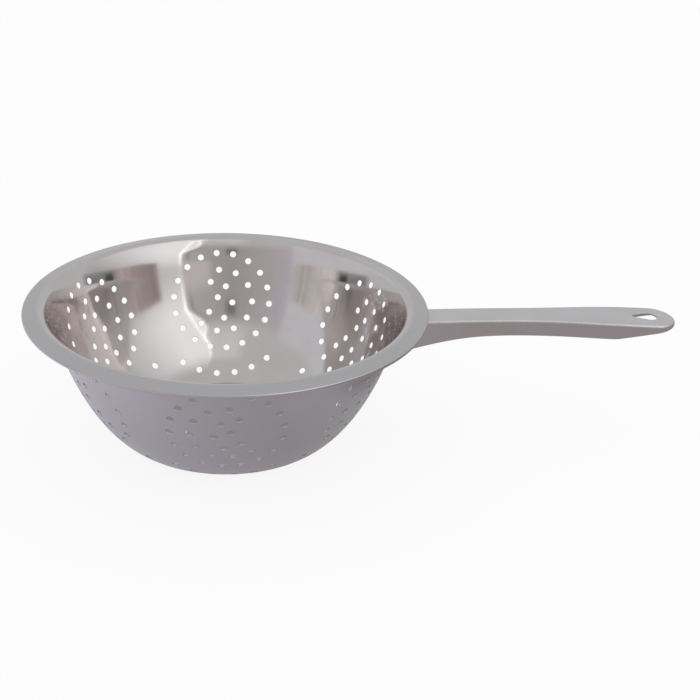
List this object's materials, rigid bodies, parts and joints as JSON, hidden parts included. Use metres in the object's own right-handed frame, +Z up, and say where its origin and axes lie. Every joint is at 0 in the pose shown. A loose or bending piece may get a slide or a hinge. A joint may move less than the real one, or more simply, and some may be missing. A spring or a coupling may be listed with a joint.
{
  "type": "strainer",
  "caption": "Steel strainer: a round perforated bowl with a flat base and a wide flanged rim, and a long channel handle with a hanging hole.",
  "frame": {"origin": "centre of the base's underside, on the bowl's axis", "axes": "+X along the handle, away from the bowl; +Z up, along the bowl's axis"},
  "size_m": [0.3954, 0.2398, 0.0853],
  "materials": {
    "bowl": "polished inside, satin on the rim",
    "handle": "satin",
    "weld": "dull, heat marked"
  },
  "bodies": {
    "root": {"bowl": "bowl", "handle": "handle", "weld_left": "weld", "weld_right": "weld"}
  },
  "joints": []
}
